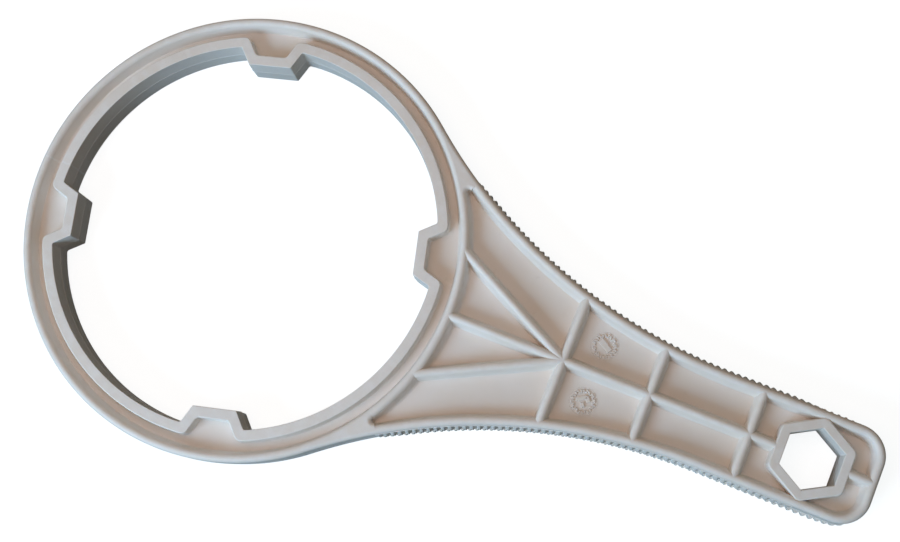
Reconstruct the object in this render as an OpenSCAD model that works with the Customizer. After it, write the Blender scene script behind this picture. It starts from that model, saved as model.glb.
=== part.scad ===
// Ring wrench for slim cartridge filter housings, moulded in one piece.
// Origin: centre of the ring, on the plane the wrench lies on.
// +X runs along the handle, +Z runs up through the ring. Millimetres.

/* [Ring] */
// Clear diameter of the ring between the lugs
ring_bore = 118; // [100:0.5:140]
// Outside diameter of the ring
ring_outside = 137.6; // [120:0.2:160]
// Width of the wall around the bore and around the lugs
inner_wall = 3; // [2:0.1:5]

/* [Lugs] */
// Number of lugs that grip the housing cap
lug_count = 4; // [2:1:6]
// Distance from the ring centre to the flat tip of a lug
lug_tip_reach = 52.9; // [45:0.1:58]
// Width of the flat tip of a lug
lug_tip_width = 13.4; // [8:0.1:24]
// Angle between a lug flank and the lug centre line
lug_flank_angle = 29.5; // [0:0.5:45]
// Angle from the handle to the first lug
lug_turn = 14.9; // [0:0.1:45]

/* [Section] */
// Full thickness of the wrench
thickness = 12.4; // [8:0.1:20]
// Thickness of the web between the ribs
web_thickness = 3.4; // [2:0.1:6]
// Width of the rim and the handle walls at the web
wall_width = 3; // [2:0.1:5]
// Width of the rim and the handle walls just under their crest
wall_crest_width = 2.8; // [1.6:0.1:4]
// Width of a rib at the web
rib_width = 3.2; // [2:0.1:5]
// Width of a rib just under its crest
rib_crest_width = 2.4; // [1.2:0.1:4]
// Height and width of the slopes that take the corners off every crest
crest_chamfer = 0.8; // [0.2:0.05:1]

/* [Handle] */
// Distance from the ring centre to the end of the handle
handle_reach = 198; // [150:1:260]
// Half the width of the straight part of the handle
handle_half_width = 14.6; // [10:0.1:20]
// Radius of the flare that runs from the handle out to the ring
flare_radius = 167; // [80:1:260]
// Outside corner radius at the end of the handle
end_corner_radius = 9; // [4:0.5:12]

/* [Ribs] */
// Distance from the ring centre to the first pair of cross ribs
cross_rib_1_at = 103.6; // [90:0.1:115]
// Distance from the ring centre to the second pair of cross ribs
cross_rib_2_at = 130.2; // [118:0.1:142]
// Distance from the ring centre to the third pair of cross ribs
cross_rib_3_at = 160.2; // [148:0.1:164]
// Angle between the spine and a diagonal rib
diagonal_angle = 26.8; // [15:0.1:40]

/* [Hexagon socket] */
// Distance from the ring centre to the centre of the hexagon
hex_at = 178.7; // [170:0.1:182]
// Width of the hexagon hole across its flats
hex_across_flats = 16; // [8:0.1:18]
// Width of the wall around the hexagon
hex_wall = 2.8; // [2:0.1:4]

/* [Grip teeth] */
// Distance between two teeth
tooth_pitch = 2.11; // [1.5:0.01:4]
// Distance from the ring centre to the first tooth
teeth_from = 61.7; // [58:0.1:90]
// Distance from the ring centre to the last tooth on the front half
front_teeth_to = 178.5; // [120:0.5:184]
// Distance from the ring centre to the last tooth on the back half
back_teeth_to = 188; // [120:0.5:189]

/* [Date marks] */
// Distance from the ring centre to the date marks
mark_at = 113.2; // [108:0.1:124]
// Radius of a date mark
mark_radius = 3.8; // [2:0.1:5]

/* [Hidden] */
$fn = 180;
flare_fn = 720;
half = thickness / 2;
half_web = web_thickness / 2;
bore_radius = ring_bore / 2;
rim_radius = ring_outside / 2;
channel_inside = bore_radius + inner_wall;
channel_outside = rim_radius - wall_width;
rim_crest = rim_radius - wall_crest_width / 2;
flare_y = flare_radius + handle_half_width;
flare_x = sqrt(pow(rim_radius + flare_radius, 2) - pow(flare_y, 2));
// The flare leaves the ring at this angle from the handle.
flare_start = atan2(flare_y, flare_x);
// The handle wall gains its full width this far along the flare.
gusset_full = sqrt(2 * wall_width / (1 / rim_radius + 1 / flare_radius)) / flare_radius * 180 / PI;
wall_start = 90 - flare_start - gusset_full;
gusset_span = 0.85 * gusset_full;
gusset_y = rim_radius * sin(flare_start);
wall_inside = handle_half_width - wall_width;
end_corner_at = handle_reach - end_corner_radius;
end_corner_y = handle_half_width - end_corner_radius;
hex_outside = (hex_across_flats / 2 + hex_wall) / cos(30);
tooth_skin = 0.15;
tooth_height = tooth_pitch / 2 - 0.1;
tooth_tip = 0.1;
tooth_band = half - crest_chamfer - 1;
plastic = "Gainsboro";

// A plate of the given thickness, centred on the mid plane.
module plate(height) {
    translate([0, 0, half - height / 2]) linear_extrude(height) children();
}

// Puts the right-hand copy of a left-hand shape where it belongs.
module on_side(side) {
    if (side > 0) children();
    else mirror([0, 1, 0]) children();
}

// ---- Sections: X is across the wall, Y is the height from the mid plane ----

// Section with a sloped crest, between two faces that may lean inwards.
module crested_section(foot_from, foot_to, crest_from, crest_to) {
    shoulder = half - crest_chamfer;
    upper = [
        [foot_from, half_web], [crest_from, shoulder],
        [crest_from + crest_chamfer, half], [crest_to - crest_chamfer, half],
        [crest_to, shoulder], [foot_to, half_web]
    ];
    lower = [for (index = [len(upper) - 1:-1:0]) [upper[index][0], -upper[index][1]]];
    polygon(concat(upper, lower));
}

// Section of the rim and the handle walls. X = 0 is the outer face.
module wall_section() {
    crested_section(0, wall_width, 0, wall_crest_width);
}

// Section of a rib, centred on X = 0.
module rib_section() {
    crested_section(-rib_width / 2, rib_width / 2, -rib_crest_width / 2, rib_crest_width / 2);
}

// A rib that starts at a point and runs for a length at an angle in the plane.
module rib(from, angle, length) {
    translate([from[0], from[1], half]) rotate([0, 0, angle])
        rotate([90, 0, 90]) linear_extrude(length) rib_section();
}

// ---- Ring ----

module rim() {
    color(plastic) translate([0, 0, half])
        rotate_extrude() translate([rim_radius, 0]) mirror([1, 0]) wall_section();
}

// Plan of a lug with all its sides set in by the given amount.
module lug_plan(inset) {
    slope = tan(lug_flank_angle);
    side_inset = inset / cos(lug_flank_angle);
    tip = lug_tip_reach + inset;
    tip_half = lug_tip_width / 2 + inset * slope - side_inset;
    base = channel_inside + 2;
    base_half = tip_half + (base - tip) * slope;
    polygon([[tip, -tip_half], [tip, tip_half], [base, base_half], [base, -base_half]]);
}

function lug_angle(index) = lug_turn + (index - 1) * 360 / lug_count;

module ring_web() {
    color(plastic) plate(web_thickness) difference() {
        circle(channel_outside);
        difference() {
            circle(channel_inside);
            for (index = [1:lug_count]) rotate(lug_angle(index)) lug_plan(inner_wall);
        }
    }
}

// The wall around the bore, from one lug round to the next.
module ring_wall(index) {
    span = 360 / lug_count;
    reach = 2 * rim_radius;
    color(plastic) plate(thickness) rotate(lug_angle(index)) intersection() {
        difference() {
            circle(channel_inside);
            circle(bore_radius);
            lug_plan(0);
            rotate(span) lug_plan(0);
        }
        polygon([[0, 0], [reach, 0], [reach, reach], [0, reach]]);
    }
}

module lug(index) {
    color(plastic) plate(thickness) rotate(lug_angle(index)) difference() {
        intersection() {
            lug_plan(0);
            circle(channel_inside);
        }
        lug_plan(inner_wall);
    }
}

// ---- Handle ----

// Centre of the flare and the direction of +Y for one side.
module at_flare() {
    translate([flare_x, flare_y]) children();
}

// The solid corner where the handle wall leaves the rim.
module gusset(side) {
    reach = 2 * flare_radius;
    color(plastic) plate(thickness - crest_chamfer) on_side(side) difference() {
        at_flare() intersection() {
            rotate(270 - wall_start) polygon([
                [0, 0],
                [reach * cos(gusset_span), -reach * sin(gusset_span)],
                [reach, 0]
            ]);
            circle(flare_radius + 2 * wall_width, $fn = flare_fn);
        }
        at_flare() circle(flare_radius, $fn = flare_fn);
        circle(rim_radius, $fn = flare_fn);
    }
}

// The curved wall between the gusset and the straight side wall.
module flare(side) {
    color(plastic) on_side(side)
        translate([flare_x, flare_y, half]) rotate([0, 0, 270 - wall_start])
            rotate_extrude(angle = wall_start, $fn = flare_fn)
                translate([flare_radius, 0]) wall_section();
}

// Straight side wall before the hexagon socket is cut out of it.
module side_wall_solid(side) {
    on_side(side) translate([flare_x, handle_half_width, half]) rotate([90, 0, 90])
        linear_extrude(end_corner_at - flare_x) mirror([1, 0]) wall_section();
}

module side_wall(side) {
    color(plastic) difference() {
        side_wall_solid(side);
        hex_block();
    }
}

module end_wall() {
    color(plastic) {
        for (side = [1, -1]) on_side(side)
            translate([end_corner_at, end_corner_y, half])
                rotate_extrude(angle = 90)
                    translate([end_corner_radius, 0]) mirror([1, 0]) wall_section();
        translate([handle_reach, end_corner_y, half]) rotate([90, 0, 0])
            linear_extrude(2 * end_corner_y) mirror([1, 0]) wall_section();
    }
}

// Plan of everything inside the handle walls.
module inside_plan() {
    inner_corner = end_corner_radius - wall_width;
    difference() {
        translate([rim_radius / 2, -gusset_y]) square([flare_x - rim_radius / 2, 2 * gusset_y]);
        for (side = [0, 1]) mirror([0, side])
            at_flare() circle(flare_radius + wall_width, $fn = flare_fn);
        circle(rim_radius);
    }
    translate([flare_x, -wall_inside])
        square([end_corner_at - flare_x, 2 * wall_inside]);
    translate([end_corner_at, -end_corner_y]) square([inner_corner, 2 * end_corner_y]);
    for (y = [-end_corner_y, end_corner_y])
        translate([end_corner_at, y]) circle(inner_corner);
}

// The web, one panel in each bay between the ribs.
module handle_web() {
    foot = rib_width / 2;
    color(plastic) plate(web_thickness) difference() {
        inside_plan();
        translate([0, -foot]) square([handle_reach, rib_width]);
        for (at = [cross_rib_1_at, cross_rib_2_at, cross_rib_3_at])
            translate([at - foot, -rim_radius]) square([rib_width, 2 * rim_radius]);
        for (side = [0, 1]) mirror([0, side])
            translate([cross_rib_1_at, 0]) rotate(180 - diagonal_angle)
                translate([0, -foot]) square([rim_radius, rib_width]);
        translate([hex_at, 0]) rotate(30) circle(hex_outside, $fn = 6);
    }
}

module spine_solid() {
    rib([rim_crest, 0], 0, hex_at - rim_crest);
}

module spine() {
    color(plastic) difference() {
        spine_solid();
        rim();
        hex_block();
    }
}

module end_rib() {
    color(plastic) difference() {
        rib([hex_at, 0], 0, handle_reach - wall_width / 2 - hex_at);
        end_wall();
        hex_block();
    }
}

// Height of the crest line of the handle wall above the handle's centre line.
function wall_line(x) = x > flare_x
    ? handle_half_width - wall_crest_width / 2
    : flare_y - sqrt(pow(flare_radius + wall_crest_width / 2, 2) - pow(flare_x - x, 2));

module cross_rib(at, side) {
    color(plastic) difference() {
        on_side(side) rib([at, 0], 90, wall_line(at));
        spine_solid();
        if (at > flare_x) side_wall_solid(side);
        else flare(side);
    }
}

// It starts a little short of the junction, inside the ribs it meets there.
module diagonal_rib(side) {
    short = rib_width / 2;
    start = [cross_rib_1_at - short * cos(diagonal_angle), short * sin(diagonal_angle)];
    length = (cross_rib_1_at - rim_crest) / cos(diagonal_angle) - short;
    color(plastic) difference() {
        on_side(side) rib(start, 180 - diagonal_angle, length);
        spine_solid();
        on_side(side) rib([cross_rib_1_at, 0], 90, wall_line(cross_rib_1_at));
        rim();
    }
}

// ---- Hexagon socket ----

// The room that the socket takes, made taller so that it cuts cleanly.
module hex_block() {
    plate(2 * thickness) translate([hex_at, 0]) rotate(30) circle(hex_outside, $fn = 6);
}

module hex_socket() {
    color(plastic) plate(thickness) translate([hex_at, 0]) rotate(30) difference() {
        circle(hex_outside, $fn = 6);
        circle(hex_across_flats / 2 / cos(30), $fn = 6);
    }
}

// ---- Grip teeth ----

// Point at a distance along the handle edge, set outwards by the given amount.
// The distance is counted from where the flare meets the straight part.
function edge_point(along, out) = along > 0
    ? [flare_x + along, handle_half_width + out]
    : let (turn = -along / flare_radius * 180 / PI)
        [flare_x - (flare_radius - out) * sin(turn), flare_y - (flare_radius - out) * cos(turn)];

// A row of teeth along one edge, on one half of the thickness.
module grip_row(side, first_x, last_x, shift, low) {
    first = -asin((flare_x - first_x) / flare_radius) * PI / 180 * flare_radius;
    count = floor((last_x - flare_x - first) / tooth_pitch);
    outer = [
        for (index = [0:count])
            let (middle = first + (index + shift) * tooth_pitch)
            each [
                edge_point(middle - tooth_pitch / 2, tooth_skin),
                edge_point(middle - tooth_tip, tooth_skin + tooth_height),
                edge_point(middle + tooth_tip, tooth_skin + tooth_height)
            ]
    ];
    inner = [
        for (index = [count + 1:-0.5:0])
            edge_point(first + (index + shift - 0.5) * tooth_pitch, 0)
    ];
    last = edge_point(first + (count + shift + 0.5) * tooth_pitch, tooth_skin);
    color(plastic) on_side(side) translate([0, 0, low])
        linear_extrude(tooth_band) polygon(concat(outer, [last], inner));
}

// ---- Date marks ----

// A raised disc on the front of the web.
module date_mark(side) {
    color(plastic) on_side(side)
        translate([mark_at, wall_line(mark_at) / 2, half + half_web])
            cylinder(h = 0.3, r = mark_radius);
}

rim();
ring_web();
ring_wall(1);  // ring_wall_1
ring_wall(2);  // ring_wall_2
ring_wall(3);  // ring_wall_3
ring_wall(4);  // ring_wall_4
lug(1);  // lug_1
lug(2);  // lug_2
lug(3);  // lug_3
lug(4);  // lug_4
gusset(1);  // gusset_left
gusset(-1);  // gusset_right
flare(1);  // flare_left
flare(-1);  // flare_right
side_wall(1);  // side_wall_left
side_wall(-1);  // side_wall_right
end_wall();
handle_web();
spine();
end_rib();
diagonal_rib(1);  // diagonal_rib_left
diagonal_rib(-1);  // diagonal_rib_right
cross_rib(cross_rib_1_at, 1);  // cross_rib_1_left
cross_rib(cross_rib_1_at, -1);  // cross_rib_1_right
cross_rib(cross_rib_2_at, 1);  // cross_rib_2_left
cross_rib(cross_rib_2_at, -1);  // cross_rib_2_right
cross_rib(cross_rib_3_at, 1);  // cross_rib_3_left
cross_rib(cross_rib_3_at, -1);  // cross_rib_3_right
hex_socket();
grip_row(1, teeth_from, front_teeth_to, 0, half);  // grip_front_left
grip_row(-1, teeth_from, front_teeth_to, 0, half);  // grip_front_right
grip_row(1, teeth_from, back_teeth_to, 0.5, half - tooth_band);  // grip_back_left
grip_row(-1, teeth_from, back_teeth_to, 0.5, half - tooth_band);  // grip_back_right
date_mark(1);  // date_mark_left
date_mark(-1);  // date_mark_right
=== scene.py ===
"""A one-piece moulded filter housing wrench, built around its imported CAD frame.

Sizes are in millimetres, and heights count from the mid plane of the moulding.
"""

import math

import bmesh
import bpy
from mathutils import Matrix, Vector


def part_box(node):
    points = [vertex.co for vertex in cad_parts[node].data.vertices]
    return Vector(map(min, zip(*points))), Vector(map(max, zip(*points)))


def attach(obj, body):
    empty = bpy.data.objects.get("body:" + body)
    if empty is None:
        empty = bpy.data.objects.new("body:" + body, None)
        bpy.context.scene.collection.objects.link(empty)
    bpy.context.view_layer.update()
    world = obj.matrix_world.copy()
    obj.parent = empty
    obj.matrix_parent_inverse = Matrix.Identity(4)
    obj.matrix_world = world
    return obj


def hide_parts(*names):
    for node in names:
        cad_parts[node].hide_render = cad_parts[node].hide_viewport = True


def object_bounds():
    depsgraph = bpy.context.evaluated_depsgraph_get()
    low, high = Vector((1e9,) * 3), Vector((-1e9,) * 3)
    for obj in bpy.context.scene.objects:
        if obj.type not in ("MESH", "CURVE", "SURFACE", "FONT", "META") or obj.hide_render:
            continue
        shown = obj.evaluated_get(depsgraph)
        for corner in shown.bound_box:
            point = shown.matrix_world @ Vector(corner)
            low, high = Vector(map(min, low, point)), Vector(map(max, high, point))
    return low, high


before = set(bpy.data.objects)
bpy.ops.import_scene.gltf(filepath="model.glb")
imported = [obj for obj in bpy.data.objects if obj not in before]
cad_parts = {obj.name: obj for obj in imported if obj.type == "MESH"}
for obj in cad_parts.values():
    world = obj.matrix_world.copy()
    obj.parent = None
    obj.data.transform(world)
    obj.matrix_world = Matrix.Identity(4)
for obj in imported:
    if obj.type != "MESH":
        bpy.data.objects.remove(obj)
cad_low, cad_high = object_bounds()

MM = 0.001


def middle(node):
    """The middle of a CAD node's box, in millimetres."""
    low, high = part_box(node)
    return (low + high) / 2 / MM


# ---- Sizes of the moulding ----

HALF = (cad_high.z - cad_low.z) / 2 / MM
MID_HEIGHT = (cad_high.z + cad_low.z) / 2 / MM
HALF_WEB = 1.7
RIM_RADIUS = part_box("rim")[1].x / MM
BORE_RADIUS = 59.0
LUG_COUNT = 4
LUG_TURN = math.radians(14.9)
LUG_TIP = 52.9
LUG_TIP_HALF = 6.7
LUG_SLOPE = math.radians(29.5)
HANDLE_END = cad_high.x / MM
HANDLE_HALF_WIDTH = 14.6
FLARE_RADIUS = 167.0
END_CORNER = 9.0
CROSS_RIBS = (103.6, 130.2, 160.2)
DIAGONAL_ANGLE = math.radians(26.8)
HEX_AT = middle("hex_socket").x
HEX_APOTHEM = 8.0
HEX_WALL_LINE = HEX_APOTHEM + 1.4
BOSS_APOTHEM = 10.95
TOOTH_PITCH = 2.11

# Half-round crests, foot fillets and parting line
WALL_CREST = 1.38
WALL_CREST_LINE = 1.53
WALL_FOOT = 3.55
RIB_CREST = 1.27
FOOT_FILLET = 0.35
FLASH = 0.09
PARTING_EDGE = 0.12
SUNK = 0.02
POCKET_CORNER = 0.7
WEB_INTO_WALL = 1.6

# Half widths of the ribs where they meet the web
SPINE_HALF = 1.95
END_RIB_HALF = 1.85
CROSS_RIB_HALF = 1.8
DIAGONAL_RIB_HALF = 1.9

FLARE_Y = FLARE_RADIUS + HANDLE_HALF_WIDTH
FLARE_X = math.sqrt((RIM_RADIUS + FLARE_RADIUS) ** 2 - FLARE_Y**2)
FLARE_START = math.atan2(FLARE_Y, FLARE_X)
END_CORNER_X = HANDLE_END - END_CORNER
END_CORNER_Y = HANDLE_HALF_WIDTH - END_CORNER


# ---- Plan helpers ----


def polar(radius, angle, centre=(0, 0)):
    """Point at a radius and angle round a centre."""
    return (centre[0] + radius * math.cos(angle), centre[1] + radius * math.sin(angle))


def spread(start, end, steps):
    """Evenly spaced numbers, both ends included."""
    return [start + (end - start) * k / steps for k in range(steps + 1)]


def arc(radius, start, end, steps, centre=(0, 0)):
    """Points along an arc, both ends included."""
    return [polar(radius, angle, centre) for angle in spread(start, end, steps)]


def arc_path(radius, start, end, steps, centre, inwards):
    """Stations along an arc: place and sideways direction, which is away from the centre or towards it."""
    sign = -1 if inwards else 1
    return [
        (polar(radius, angle, centre), polar(sign, angle))
        for angle in spread(start, end, steps)
    ]


def straight_path(start, angle, length, steps=1):
    """Stations along a straight line. Sideways is to its left."""
    side = polar(1, angle + math.pi / 2)
    return [(polar(step, angle, start), side) for step in spread(0, length, steps)]


def flipped(path, side):
    """The path itself for side 1, and its mirror image across the handle's centre line for side -1."""
    return [((x, side * y), (a, side * b)) for (x, y), (a, b) in path]


# ---- Mesh helpers ----


def lifted(x, y, z):
    """A plan point at a height from the mid plane, in metres in the row frame."""
    return Vector((x, y, z + MID_HEIGHT)) * MM


def skin(rings, closed=False):
    """Mesh over a row of rings. It is capped at both ends, or joins up with itself when closed."""
    mesh = bmesh.new()
    layers = [[mesh.verts.new(point) for point in ring] for ring in rings]
    spans = list(zip(layers, layers[1:]))
    if closed:
        spans.append((layers[-1], layers[0]))
    for here, there in spans:
        for k in range(len(here)):
            mesh.faces.new((here[k - 1], here[k], there[k], there[k - 1]))
    if not closed:
        mesh.faces.new(layers[0])
        mesh.faces.new(layers[-1])
    bmesh.ops.recalc_face_normals(mesh, faces=mesh.faces)
    return mesh


def joined(parts):
    """One mesh from several."""
    whole = bmesh.new()
    for part in parts:
        data = bpy.data.meshes.new("part")
        part.to_mesh(data)
        part.free()
        whole.from_mesh(data)
        bpy.data.meshes.remove(data)
    return whole


def piece(name, mesh, *nodes, crease=38):
    """Turns a mesh into a named piece of the wrench that stands for the given CAD nodes."""
    data = bpy.data.meshes.new(name)
    mesh.to_mesh(data)
    mesh.free()
    data.shade_smooth()
    data.set_sharp_from_angle(angle=math.radians(crease))
    obj = bpy.data.objects.new(name, data)
    bpy.context.scene.collection.objects.link(obj)
    weighted = obj.modifiers.new("even shading", "WEIGHTED_NORMAL")
    weighted.keep_sharp = True
    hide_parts(*nodes)
    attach(obj, "root")
    data.materials.append(plastic)


def swept(section, path):
    """One ring of points for each station of a path. A section point is (sideways, height)."""
    return [
        [lifted(x + u * a, y + u * b, z) for u, z in section] for (x, y), (a, b) in path
    ]


# ---- Sections ----


def both_faces(upper):
    """Closes a section with its mirror image below the mid plane."""
    lower = [(u, -z) for u, z in reversed(upper) if z > 0]
    return upper + lower


def foot(u, outwards, radius=FOOT_FILLET):
    """Fillet points from a wall down to the web. The wall is at u, and the web lies outwards of it."""
    centre = (u + outwards * radius, HALF_WEB + radius)
    turn = [
        (centre[0] - outwards * radius * math.cos(t), centre[1] - radius * math.sin(t))
        for t in spread(0, math.pi / 2, 5)
    ]
    turn[-1] = (turn[-1][0], HALF_WEB - SUNK)
    return turn


def wall_section():
    """Section of the rim and the handle's walls, with sideways 0 at the outer face."""
    crest = (WALL_CREST_LINE, HALF - WALL_CREST)
    outer = [(0, 0), (FLASH, PARTING_EDGE)]
    return both_faces(outer + arc(WALL_CREST, math.pi, 0, 14, crest) + foot(WALL_FOOT, 1))


def rib_section(half_width):
    """Section of a rib, centred on sideways 0."""
    crest = (0, HALF - RIB_CREST)
    left = list(reversed(foot(-half_width, -1)))
    return both_faces(left + arc(RIB_CREST, math.pi, 0, 12, crest) + foot(half_width, 1))


# ---- Material ----

CREAM = (0.80, 0.735, 0.665, 1)
IVORY = (0.84, 0.79, 0.735, 1)
WORN = (0.92, 0.90, 0.87, 1)
GRIME = (0.56, 0.48, 0.40, 1)

# The weld line lies across the far side of the ring, in metres in the row frame.
WELD_HALF_WIDTH = 0.0004
WELD_CORE = 0.00015
WELD_FROM_X = -0.055
WELD_FULL_X = -0.056


class Nodes:
    """Adds shader nodes to a tree and wires them."""

    def __init__(self, tree):
        self.tree = tree

    def add(self, kind, settings=None, **inputs):
        node = self.tree.nodes.new(kind)
        for key, value in (settings or {}).items():
            setattr(node, key, value)
        for key, value in inputs.items():
            self.feed(node.inputs[key.replace("_", " ")], value)
        return node

    def feed(self, socket, value):
        if isinstance(value, bpy.types.NodeSocket):
            self.tree.links.new(value, socket)
        else:
            socket.default_value = value

    def maths(self, operation, *values, clamp=False):
        node = self.tree.nodes.new("ShaderNodeMath")
        node.operation = operation
        node.use_clamp = clamp
        for socket, value in zip(node.inputs, values):
            self.feed(socket, value)
        return node.outputs[0]

    def noise(self, place, scale, detail=3.0, roughness=0.5):
        node = self.add(
            "ShaderNodeTexNoise",
            Vector=place,
            Scale=scale,
            Detail=detail,
            Roughness=roughness,
        )
        return node.outputs["Fac"]

    def band(self, value, low, high):
        """0 below low, 1 above high, and smooth in between."""
        node = self.add(
            "ShaderNodeMapRange",
            {"interpolation_type": "SMOOTHSTEP"},
            Value=value,
            From_Min=low,
            From_Max=high,
        )
        return node.outputs[0]

    def mix(self, share, first, second):
        node = self.tree.nodes.new("ShaderNodeMix")
        node.data_type = "RGBA"
        self.feed(node.inputs[0], share)
        self.feed(node.inputs[6], first)
        self.feed(node.inputs[7], second)
        return node.outputs[2]


def make_plastic():
    """Warm off-white moulded plastic: mottled, paler and scuffed on its crests, with a satin skin."""
    material = bpy.data.materials.new("moulded_plastic")
    material.use_nodes = True
    tree = material.node_tree
    n = Nodes(tree)
    shader = tree.nodes["Principled BSDF"]
    place = n.add("ShaderNodeTexCoord").outputs["Object"]
    stretched = n.add(
        "ShaderNodeMapping", Vector=place, Scale=(0.12, 1.0, 1.0), Rotation=(0, 0, 0.35)
    ).outputs[0]
    x, y, z = n.add("ShaderNodeSeparateXYZ", Vector=place).outputs
    height = n.maths("ABSOLUTE", n.maths("SUBTRACT", z, MID_HEIGHT * MM))
    wander = n.maths("MULTIPLY", n.maths("SUBTRACT", n.noise(place, 500.0), 0.5), 0.0008)
    off_line = n.maths("ABSOLUTE", n.maths("ADD", y, wander))
    on_line = n.band(off_line, WELD_HALF_WIDTH, WELD_CORE)
    weld = n.maths("MULTIPLY", on_line, n.band(x, WELD_FROM_X, WELD_FULL_X))

    cloud = n.noise(place, 45.0, 4.0)
    blotch = n.noise(place, 260.0, 3.0, 0.6)
    grain = n.noise(place, 2600.0, 2.0)
    ripple = n.noise(place, 420.0, 2.0)
    scuff = n.band(n.noise(stretched, 1500.0, 3.0, 0.7), 0.62, 0.70)

    crest = n.band(height, (HALF - 0.9) * MM, (HALF - 0.05) * MM)
    rubbed = n.maths("MULTIPLY", scuff, crest)
    worn = n.maths("MULTIPLY", crest, n.band(blotch, 0.35, 0.75))
    tone = n.mix(n.band(cloud, 0.3, 0.7), CREAM, IVORY)
    tone = n.mix(n.maths("MULTIPLY", worn, 0.45), tone, WORN)
    tone = n.mix(n.maths("MULTIPLY", n.band(blotch, 0.62, 0.8), 0.18), tone, GRIME)
    tone = n.mix(n.maths("MULTIPLY", weld, 0.6), tone, WORN)

    rough = n.maths("ADD", 0.46, n.maths("MULTIPLY", blotch, 0.14))
    rough = n.maths("ADD", rough, n.maths("MULTIPLY", rubbed, 0.15))

    relief = n.maths("ADD", ripple, n.maths("MULTIPLY", grain, 0.25))
    relief = n.maths("SUBTRACT", relief, n.maths("MULTIPLY", weld, 0.8))
    relief = n.maths("SUBTRACT", relief, n.maths("MULTIPLY", rubbed, 0.5))
    bump = n.add("ShaderNodeBump", Height=relief, Strength=0.22, Distance=0.00012)

    n.feed(shader.inputs["Base Color"], tone)
    n.feed(shader.inputs["Roughness"], rough)
    n.feed(shader.inputs["Normal"], bump.outputs[0])
    shader.inputs["IOR"].default_value = 1.49
    shader.inputs["Subsurface Weight"].default_value = 0.12
    shader.inputs["Subsurface Radius"].default_value = (1.0, 0.75, 0.5)
    shader.inputs["Subsurface Scale"].default_value = 0.0015
    return material


plastic = make_plastic()


# ---- Ring ----

RIM_DRAFT = 0.4
RIM_FOOT = 0.8
BORE_DRAFT = 0.12
BORE_ROOT = 0.7
CHANNEL_ROOT = 2.2
BORE_LAND = 3.35
BORE_LAND_EDGE = 0.2
CHANNEL_EDGE = 0.35
PARTING_LIP = 0.14
FLANK_SPLIT = 4.2
SPLIT_INDEX = 7


def make_rim():
    """The wall round the ring. Where the handle joins it, its outer face has a draft and a foot."""
    path = arc_path(RIM_RADIUS, 0, math.tau, 288, (0, 0), inwards=True)[:-1]
    wall = skin(swept(wall_section(), path), closed=True)
    centre = pocket_end()
    reach = math.atan2(centre[1], centre[0])
    inside = arc_path(RIM_RADIUS, -reach, reach, 72, (0, 0), inwards=False)
    top = HALF - WALL_CREST
    section = both_faces([(-0.6, top), (-FLASH, top)] + foot(RIM_DRAFT, 1, RIM_FOOT))
    foot_strip = skin(swept(section, inside))
    piece("rim", joined([wall, foot_strip]), "rim")


def lug_outline(inset, tip_radius, root_radius):
    """Half a lug's outline from the middle of its tip to the bore, then the bore half way to the next lug.

    The inset moves the outline from the bore into the plastic. The lug points along +X.
    """
    along = polar(1, LUG_SLOPE)
    into = polar(1, LUG_SLOPE - math.pi / 2)

    def flank(distance, depth):
        return (
            LUG_TIP + distance * along[0] + depth * into[0],
            LUG_TIP_HALF + distance * along[1] + depth * into[1],
        )

    depth = inset + tip_radius
    tip_centre = flank(depth * (1 - math.sin(LUG_SLOPE)) / math.cos(LUG_SLOPE), depth)
    tip = arc(tip_radius, math.pi, math.pi / 2 + LUG_SLOPE, 6, tip_centre)

    depth = inset - root_radius
    start = flank(0, depth)
    reach = BORE_RADIUS + depth
    towards = start[0] * along[0] + start[1] * along[1]
    run = -towards + math.sqrt(towards**2 + reach**2 - start[0] ** 2 - start[1] ** 2)
    root_centre = flank(run, depth)
    root_turn = math.atan2(root_centre[1], root_centre[0])
    root = arc(root_radius, LUG_SLOPE - math.pi / 2, root_turn, 8, root_centre)

    bore = arc(BORE_RADIUS + inset, root_turn, math.pi / LUG_COUNT, 22)[1:]
    return tip + [flank(FLANK_SPLIT, inset)] + root + bore


def bore_section():
    """Section of the wall round the bore: inset from the bore, height, lug tip radius and root radius."""
    edge = [
        (BORE_DRAFT + BORE_LAND_EDGE * (1 - math.cos(t)), HALF - BORE_LAND_EDGE * (1 - math.sin(t)))
        for t in spread(0, math.pi / 2, 3)
    ]
    bore_side = [(-FLASH, 0), (0.02, PARTING_LIP)] + edge
    centre = (BORE_LAND - CHANNEL_EDGE, HALF - CHANNEL_EDGE)
    shoulder = arc(CHANNEL_EDGE, math.pi / 2, 0, 5, centre)
    root = CHANNEL_ROOT - BORE_LAND
    upper = [(u, z, 0.5, BORE_ROOT + u) for u, z in bore_side]
    upper += [(u, z, 1.5, root + u) for u, z in shoulder]
    upper += [(u, z, max(0.4, 4.5 - u), root + u) for u, z in foot(BORE_LAND + 0.15, 1)]
    lower = [(u, -z, tip, root) for u, z, tip, root in reversed(upper) if z > 0]
    return upper + lower


def bore_outline(inset, tip_radius, root_radius):
    """The whole outline round the bore, from the middle of the wall before lug 1."""
    half_lug = lug_outline(inset, tip_radius, root_radius)
    before = [(x, -y) for x, y in reversed(half_lug)]
    points = []
    for index in range(LUG_COUNT):
        turn = LUG_TURN + index * math.tau / LUG_COUNT
        cos, sin = math.cos(turn), math.sin(turn)
        for x, y in before[1:] + half_lug:
            points.append((x * cos - y * sin, x * sin + y * cos))
    return points


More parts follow.
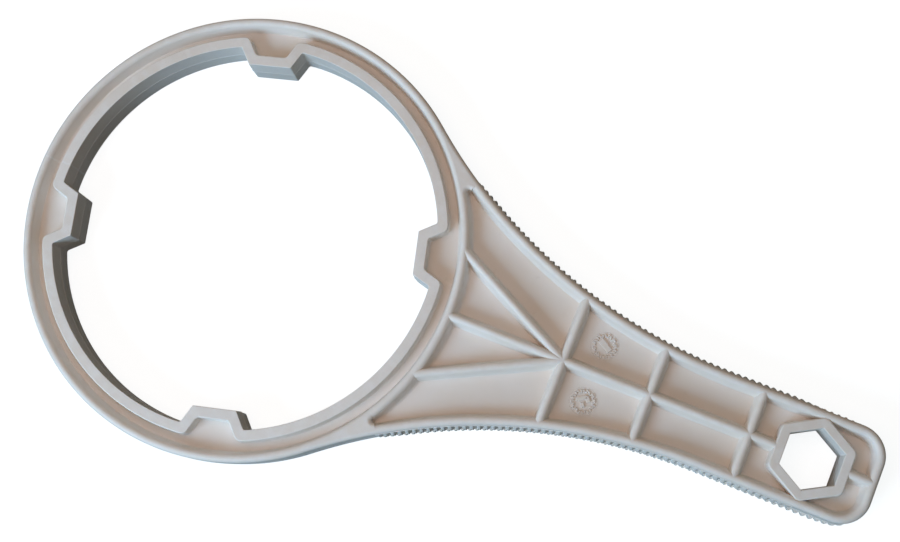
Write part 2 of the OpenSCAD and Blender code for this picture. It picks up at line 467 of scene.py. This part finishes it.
def make_bore_wall():
    loops = [
        [(x, y, z) for x, y in bore_outline(u, tip, root)] for u, z, tip, root in bore_section()
    ]
    stations = [[lifted(*point) for point in ring] for ring in zip(*loops)]
    period = len(stations) // LUG_COUNT
    half = (period - 1) // 2
    first = half - SPLIT_INDEX - 1
    last = half + SPLIT_INDEX
    for index in range(LUG_COUNT):
        lug = stations[index * period + first : index * period + last + 1]
        piece(f"lug_{index + 1}", skin(lug), f"lug_{index + 1}")
        wall = [
            stations[(index * period + k) % len(stations)]
            for k in range(last, period + first + 1)
        ]
        piece(f"ring_wall_{index + 1}", skin(wall), f"ring_wall_{index + 1}")


def plate(outlines):
    """A flat web between the mid plane's two faces. Outlines after the first are holes."""
    curve = bpy.data.curves.new("plate", "CURVE")
    curve.dimensions = "2D"
    curve.fill_mode = "BOTH"
    curve.extrude = HALF_WEB * MM
    for outline in outlines:
        spline = curve.splines.new("POLY")
        spline.points.add(len(outline) - 1)
        for point, (x, y) in zip(spline.points, outline):
            point.co = (x * MM, y * MM, 0, 1)
        spline.use_cyclic_u = True
    holder = bpy.data.objects.new("plate", curve)
    bpy.context.scene.collection.objects.link(holder)
    view = bpy.context.evaluated_depsgraph_get()
    data = bpy.data.meshes.new_from_object(holder.evaluated_get(view))
    bpy.data.objects.remove(holder)
    mesh = bmesh.new()
    mesh.from_mesh(data)
    bmesh.ops.remove_doubles(mesh, verts=mesh.verts, dist=1e-7)
    bmesh.ops.translate(mesh, verts=mesh.verts, vec=(0, 0, MID_HEIGHT * MM))
    return mesh


def make_ring_web():
    outside = arc(RIM_RADIUS - WEB_INTO_WALL, 0, math.tau, 240)[:-1]
    piece("ring_web", plate([outside, bore_outline(1.5, 1.0, 1.5)]), "ring_web")


# ---- Handle ----


def flare_path(start, steps):
    """The handle's outer edge along the flare, from an angle round the flare's centre."""
    return arc_path(
        FLARE_RADIUS, start, 1.5 * math.pi, steps, (FLARE_X, FLARE_Y), inwards=False
    )


def make_outer_walls():
    section = wall_section()
    for side, word in ((1, "left"), (-1, "right")):
        flare = flipped(flare_path(FLARE_START + math.pi, 72), side)
        piece(f"flare_{word}", skin(swept(section, flare)), f"flare_{word}")
        edge = [((x, HANDLE_HALF_WIDTH), (0, -1)) for x in (FLARE_X, END_CORNER_X)]
        piece(
            f"side_wall_{word}",
            skin(swept(section, flipped(edge, side))),
            f"side_wall_{word}",
        )


def make_end_wall():
    corner = arc_path(
        END_CORNER, math.pi / 2, 0, 20, (END_CORNER_X, END_CORNER_Y), inwards=True
    )
    other = [((x, -y), (a, -b)) for (x, y), (a, b) in reversed(corner)]
    piece("end_wall", skin(swept(wall_section(), corner + other)), "end_wall")


def pocket_end():
    """Centre of the round end of the pocket between the rim and the flare."""
    from_ring = RIM_RADIUS + POCKET_CORNER
    from_flare = FLARE_RADIUS + WALL_FOOT + POCKET_CORNER
    apart = math.hypot(FLARE_X, FLARE_Y)
    along = (apart**2 + from_ring**2 - from_flare**2) / (2 * apart)
    turn = FLARE_START - math.acos(along / from_ring)
    return polar(from_ring, turn)


def make_gussets():
    """The solid corner where the flare leaves the rim, with the pocket's round end let into it."""
    centre = pocket_end()
    to_ring = math.atan2(-centre[1], -centre[0])
    to_flare = math.atan2(FLARE_Y - centre[1], FLARE_X - centre[0])
    rim_side = math.atan2(centre[1], centre[0])
    flare_side = math.atan2(centre[1] - FLARE_Y, centre[0] - FLARE_X)
    rim_line = arc(RIM_RADIUS - WALL_CREST_LINE, rim_side, FLARE_START, 16)
    flare_line = arc(
        FLARE_RADIUS + WALL_CREST_LINE,
        FLARE_START - math.pi,
        flare_side,
        16,
        (FLARE_X, FLARE_Y),
    )
    edge = arc(WALL_CREST, math.pi, math.pi / 2, 8, (WALL_CREST, HALF - WALL_CREST))
    upper = list(reversed(edge)) + [(-u, z) for u, z in foot(0, 1)]
    levels = both_faces(upper)
    for side, word in ((1, "left"), (-1, "right")):
        rings = []
        for u, z in levels:
            hollow = arc(POCKET_CORNER + u, to_ring + math.tau, to_flare, 14, centre)
            outline = rim_line + flare_line + list(reversed(hollow))
            rings.append([lifted(x, side * y, z) for x, y in outline])
        piece(f"gusset_{word}", skin(rings), f"gusset_{word}")


def make_handle_web():
    """The web inside the handle's walls, with the hexagon left open."""
    ring_side = arc(RIM_RADIUS - WEB_INTO_WALL, -FLARE_START * 0.78, FLARE_START * 0.78, 40)
    reach = FLARE_RADIUS + WEB_INTO_WALL
    top = [
        (x, FLARE_Y - math.sqrt(reach**2 - (FLARE_X - x) ** 2))
        for x in spread(ring_side[-1][0] + 4, FLARE_X, 30)
    ]
    corner = arc(END_CORNER - WEB_INTO_WALL, math.pi / 2, 0, 8, (END_CORNER_X, END_CORNER_Y))
    upper = top + corner
    outline = ring_side + upper + [(x, -y) for x, y in reversed(upper)]
    hole = [(HEX_AT + x, y) for x, y in hexagon(HEX_WALL_LINE, 1.5)]
    piece("handle_web", plate([outline, hole]), "handle_web")


def wall_crest_y(x):
    """Distance from the handle's centre line to the crest of its side wall."""
    if x > FLARE_X:
        return HANDLE_HALF_WIDTH - WALL_CREST_LINE
    reach = FLARE_RADIUS + WALL_CREST_LINE
    return FLARE_Y - math.sqrt(reach**2 - (FLARE_X - x) ** 2)


def make_ribs():
    rim_crest = RIM_RADIUS - WALL_CREST_LINE
    spine = straight_path((rim_crest, 0), 0, HEX_AT - HEX_WALL_LINE - rim_crest)
    piece("spine", skin(swept(rib_section(SPINE_HALF), spine)), "spine")
    tail_start = HEX_AT + HEX_WALL_LINE
    tail = straight_path((tail_start, 0), 0, HANDLE_END - WALL_CREST_LINE - tail_start)
    piece("end_rib", skin(swept(rib_section(END_RIB_HALF), tail)), "end_rib")
    for side, word in ((1, "left"), (-1, "right")):
        for number, at in enumerate(CROSS_RIBS, 1):
            path = straight_path((at, 0), math.pi / 2, wall_crest_y(at))
            name = f"cross_rib_{number}_{word}"
            piece(name, skin(swept(rib_section(CROSS_RIB_HALF), flipped(path, side))), name)
        start = (CROSS_RIBS[0], 0)
        length = diagonal_length(rim_crest)
        path = straight_path(start, math.pi - DIAGONAL_ANGLE, length)
        name = f"diagonal_rib_{word}"
        piece(name, skin(swept(rib_section(DIAGONAL_RIB_HALF), flipped(path, side))), name)


def diagonal_length(rim_crest):
    """Length of a diagonal rib from the first cross rib to the rim's crest."""
    across = CROSS_RIBS[0] * math.sin(DIAGONAL_ANGLE)
    return CROSS_RIBS[0] * math.cos(DIAGONAL_ANGLE) - math.sqrt(rim_crest**2 - across**2)


# ---- Hexagon socket ----


def hexagon(apothem, radius):
    """Outline of a hexagon with rounded corners. Two of its corners lie along Y."""
    points = []
    for k in range(6):
        turn = math.pi / 6 + k * math.pi / 3
        centre = polar((apothem - radius) / math.cos(math.pi / 6), turn)
        points += arc(radius, turn - math.pi / 6, turn + math.pi / 6, 6, centre)
    return points


def make_hex_socket():
    edge = 0.25
    hole = [(HEX_APOTHEM - FLASH, 0, 0.3), (HEX_APOTHEM, PARTING_LIP, 0.3)]
    hole += [
        (HEX_APOTHEM + 0.08 + edge * (1 - math.cos(t)), HALF - edge * (1 - math.sin(t)), 0.3)
        for t in spread(0, math.pi / 2, 3)
    ]
    shoulder = arc(0.5, math.pi / 2, 0, 6, (BOSS_APOTHEM - 0.5, HALF - 0.5))
    outer = [(u, z, 1.8) for u, z in shoulder]
    outer += [(u, z, 2.0) for u, z in foot(BOSS_APOTHEM + 0.2, 1)]
    upper = hole + outer
    levels = upper + [(u, -z, r) for u, z, r in reversed(upper) if z > 0]
    rings = [
        [lifted(HEX_AT + x, y, z) for x, y in hexagon(u, r)] for u, z, r in levels
    ]
    piece("hex_socket", skin(rings, closed=True), "hex_socket")


# ---- Grip teeth ----

FIRST_TOOTH_X = 61.7
TOOTH_HEIGHT = 0.85
TOOTH_TOP = 0.11
TOOTH_BAND = 4.7
TOOTH_SLOPE = 1.9
FRONT_ROW_END = 178.5
BACK_ROW_PAST_CORNER = 4.5


def edge_station(along):
    """Place and outward direction on the handle's edge, at a distance past the end of the flare."""
    straight = END_CORNER_X - FLARE_X
    if along > straight:
        outward = polar(1, math.pi / 2 - (along - straight) / END_CORNER)
        centre = (END_CORNER_X, END_CORNER_Y)
        return (centre[0] + END_CORNER * outward[0], centre[1] + END_CORNER * outward[1]), outward
    if along > 0:
        return (FLARE_X + along, HANDLE_HALF_WIDTH), (0, 1)
    turn = along / FLARE_RADIUS
    outward = (-math.sin(turn), math.cos(turn))
    centre = (FLARE_X, FLARE_Y)
    return (centre[0] - FLARE_RADIUS * outward[0], centre[1] - FLARE_RADIUS * outward[1]), outward


def make_grip_row(name, side, shift, face, last):
    """One row of teeth on one half of the thickness, fading in and out at its ends.

    Each tooth slopes away towards the crest.
    """
    first = -math.asin((FLARE_X - FIRST_TOOTH_X) / FLARE_RADIUS) * FLARE_RADIUS
    count = int((last - first) / TOOTH_PITCH)
    rings = []
    for index in range(count + 1):
        fade = min(1, 0.55 + index * 0.15, 0.4 + (count - index) * 0.15)
        for step, share in ((-0.5, 0), (-TOOTH_TOP, 1), (TOOTH_TOP, 1)):
            along = first + (index + shift + step) * TOOTH_PITCH
            rings.append((along, share * TOOTH_HEIGHT * fade))
    rings.append((first + (count + shift + 0.5) * TOOTH_PITCH, 0))
    stations = []
    for along, out in rings:
        (x, y), (a, b) = edge_station(along)
        section = [
            (-0.6, 0.02),
            (out, 0.02),
            (out, TOOTH_BAND - TOOTH_SLOPE),
            (0.0, TOOTH_BAND),
            (-0.6, TOOTH_BAND + 0.1),
        ]
        stations.append(
            [lifted(x + u * a, side * (y + u * b), face * z) for u, z in section]
        )
    piece(name, skin(stations), name, crease=25)


def make_grips():
    back_end = END_CORNER_X - FLARE_X + BACK_ROW_PAST_CORNER
    for side, word in ((1, "left"), (-1, "right")):
        make_grip_row(f"grip_front_{word}", side, 0, 1, FRONT_ROW_END - FLARE_X)
        make_grip_row(f"grip_back_{word}", side, 0.5, -1, back_end)


# ---- Date marks ----

DIAL_RADIUS = 4.2
DIAL_STROKES = 24


def raised(outline, height, lean=0.16):
    """A low raised shape on the front of the web. The outline is a convex row of plan points."""
    cx = sum(x for x, y in outline) / len(outline)
    cy = sum(y for x, y in outline) / len(outline)
    rings = []
    for share, z in ((0, HALF_WEB - 0.05), (0, HALF_WEB + 0.02), (1, HALF_WEB + height)):
        ring = []
        for x, y in outline:
            reach = math.hypot(x - cx, y - cy)
            keep = 1 - share * lean / max(reach, 2 * lean)
            ring.append(lifted(cx + (x - cx) * keep, cy + (y - cy) * keep, z))
        rings.append(ring)
    return skin(rings)


def bar(centre, angle, length, width):
    """Outline of a thin bar."""
    ends = ((-1, -1), (1, -1), (1, 1), (-1, 1))
    cos, sin = math.cos(angle), math.sin(angle)
    return [
        (
            centre[0] + a * length / 2 * cos - b * width / 2 * sin,
            centre[1] + a * length / 2 * sin + b * width / 2 * cos,
        )
        for a, b in ends
    ]


def make_date_mark(name, bars):
    """A dial of small strokes round a few bars, inside the faint line of the mould insert."""
    centre = middle(name)
    line = arc_path(DIAL_RADIUS, 0, math.tau, 48, centre, inwards=False)[:-1]
    base = HALF_WEB - 0.05
    section = [(-0.1, base), (-0.05, base + 0.1), (0.05, base + 0.1), (0.1, base)]
    parts = [skin(swept(section, line), closed=True)]
    for k in range(DIAL_STROKES):
        turn = k * math.tau / DIAL_STROKES
        lean = 0.55 if k % 2 else -0.25
        stroke = polar(DIAL_RADIUS - 0.95 - 0.1 * (k % 3), turn, centre)
        parts.append(raised(bar(stroke, turn + lean, 1.2, 0.5), 0.42))
        if k % 2:
            crossing = polar(DIAL_RADIUS - 0.8, turn + 0.1, centre)
            parts.append(raised(bar(crossing, turn + 1.9, 0.7, 0.42), 0.36))
    for (x, y), angle, length, width in bars:
        place = (centre[0] + x, centre[1] + y)
        parts.append(raised(bar(place, math.radians(angle), length, width), 0.6))
    piece(name, joined(parts), name)


def make_date_marks():
    make_date_mark("date_mark_left", [((0.05, 0.3), -32, 4.5, 1.6)])
    make_date_mark(
        "date_mark_right",
        [
            ((-0.7, 0.75), 33, 3.4, 1.1),
            ((1.05, 1.1), -50, 2.0, 1.0),
            ((0.2, -0.95), -50, 1.6, 1.0),
        ],
    )


make_rim()
make_bore_wall()
make_ring_web()
make_outer_walls()
make_end_wall()
make_gussets()
make_handle_web()
make_ribs()
make_hex_socket()
make_grips()
make_date_marks()


# ---- Floor, light and camera ----

PALE = (0.97, 0.99, 1, 1)
FLOOR_REACH = 15


def make_floor():
    """A wide pale floor. It looks bright to the camera but throws little light back on the wrench."""
    data = bpy.data.meshes.new("floor")
    mesh = bmesh.new()
    bmesh.ops.create_grid(mesh, x_segments=8, y_segments=8, size=FLOOR_REACH)
    bmesh.ops.translate(mesh, verts=mesh.verts, vec=(0, 0, cad_low.z - 0.0001))
    mesh.to_mesh(data)
    mesh.free()
    floor = bpy.data.objects.new("floor", data)
    bpy.context.scene.collection.objects.link(floor)
    material = bpy.data.materials.new("pale_floor")
    material.use_nodes = True
    tree = material.node_tree
    n = Nodes(tree)
    paper = n.add("ShaderNodeBsdfDiffuse", Color=(0.4, 0.4, 0.4, 1))
    glow = n.add("ShaderNodeEmission", Color=PALE, Strength=0.88)
    bright = n.add("ShaderNodeAddShader")
    tree.links.new(paper.outputs[0], bright.inputs[0])
    tree.links.new(glow.outputs[0], bright.inputs[1])
    dim = n.add("ShaderNodeBsdfDiffuse", Color=(0.05, 0.05, 0.05, 1))
    seen = n.add("ShaderNodeLightPath").outputs["Is Camera Ray"]
    both = n.add("ShaderNodeMixShader", Fac=seen)
    tree.links.new(dim.outputs[0], both.inputs[1])
    tree.links.new(bright.outputs[0], both.inputs[2])
    tree.links.new(both.outputs[0], tree.nodes["Material Output"].inputs["Surface"])
    data.materials.append(material)


def make_light(name, over, azimuth, elevation, distance, size, power, colour):
    """A square soft light that faces a place on the X axis. Azimuth turns from +X towards +Y."""
    data = bpy.data.lights.new(name, "AREA")
    data.shape = "SQUARE"
    data.size = size
    data.energy = power
    data.color = colour
    light = bpy.data.objects.new(name, data)
    bpy.context.scene.collection.objects.link(light)
    a, e = math.radians(azimuth), math.radians(elevation)
    away = Vector((math.cos(a) * math.cos(e), math.sin(a) * math.cos(e), math.sin(e)))
    light.location = Vector((over, 0, 0)) + away * distance
    light.rotation_euler = away.to_track_quat("Z", "Y").to_euler()


def make_world(colour, strength):
    """Dim light from all round. The camera sees a pale backdrop instead."""
    world = bpy.data.worlds.new("room")
    world.use_nodes = True
    tree = world.node_tree
    n = Nodes(tree)
    room = n.add("ShaderNodeBackground", Color=colour, Strength=strength)
    backdrop = n.add("ShaderNodeBackground", Color=PALE, Strength=0.92)
    seen = n.add("ShaderNodeLightPath").outputs["Is Camera Ray"]
    both = n.add("ShaderNodeMixShader", Fac=seen)
    tree.links.new(room.outputs[0], both.inputs[1])
    tree.links.new(backdrop.outputs[0], both.inputs[2])
    tree.links.new(both.outputs[0], tree.nodes["World Output"].inputs["Surface"])
    bpy.context.scene.world = world


def make_camera():
    """The camera looks down on the wrench from over its handle, a little to the right of it."""
    data = bpy.data.cameras.new("camera")
    data.lens = 51.6
    data.sensor_width = 36
    data.clip_start = 0.01
    data.clip_end = 50
    camera = bpy.data.objects.new("camera", data)
    bpy.context.scene.collection.objects.link(camera)
    camera.location = (0.11935, -0.03911, 0.38635)
    camera.rotation_euler = [math.radians(angle) for angle in (10.415, 4.983, 22.387)]
    bpy.context.scene.camera = camera


make_floor()
make_light("window", 0.06, -120, 30, 0.9, 0.5, 7.6, (0.528, 0.762, 1.0))
make_light("lamp", 0.0, 0, 90, 0.45, 0.35, 0.59, (1.0, 0.69, 0.60))
make_light("fill", 0.06, -10, 35, 0.9, 0.7, 0.6, (0.41, 0.615, 1.0))
make_light("back_fill", 0.06, 130, 7, 0.9, 0.7, 1.5, (0.80, 0.86, 1.0))
make_world((0.96, 1.0, 0.5, 1), 0.084)
make_camera()
bpy.context.scene.view_settings.view_transform = "Standard"
bpy.context.scene.view_settings.look = "None"
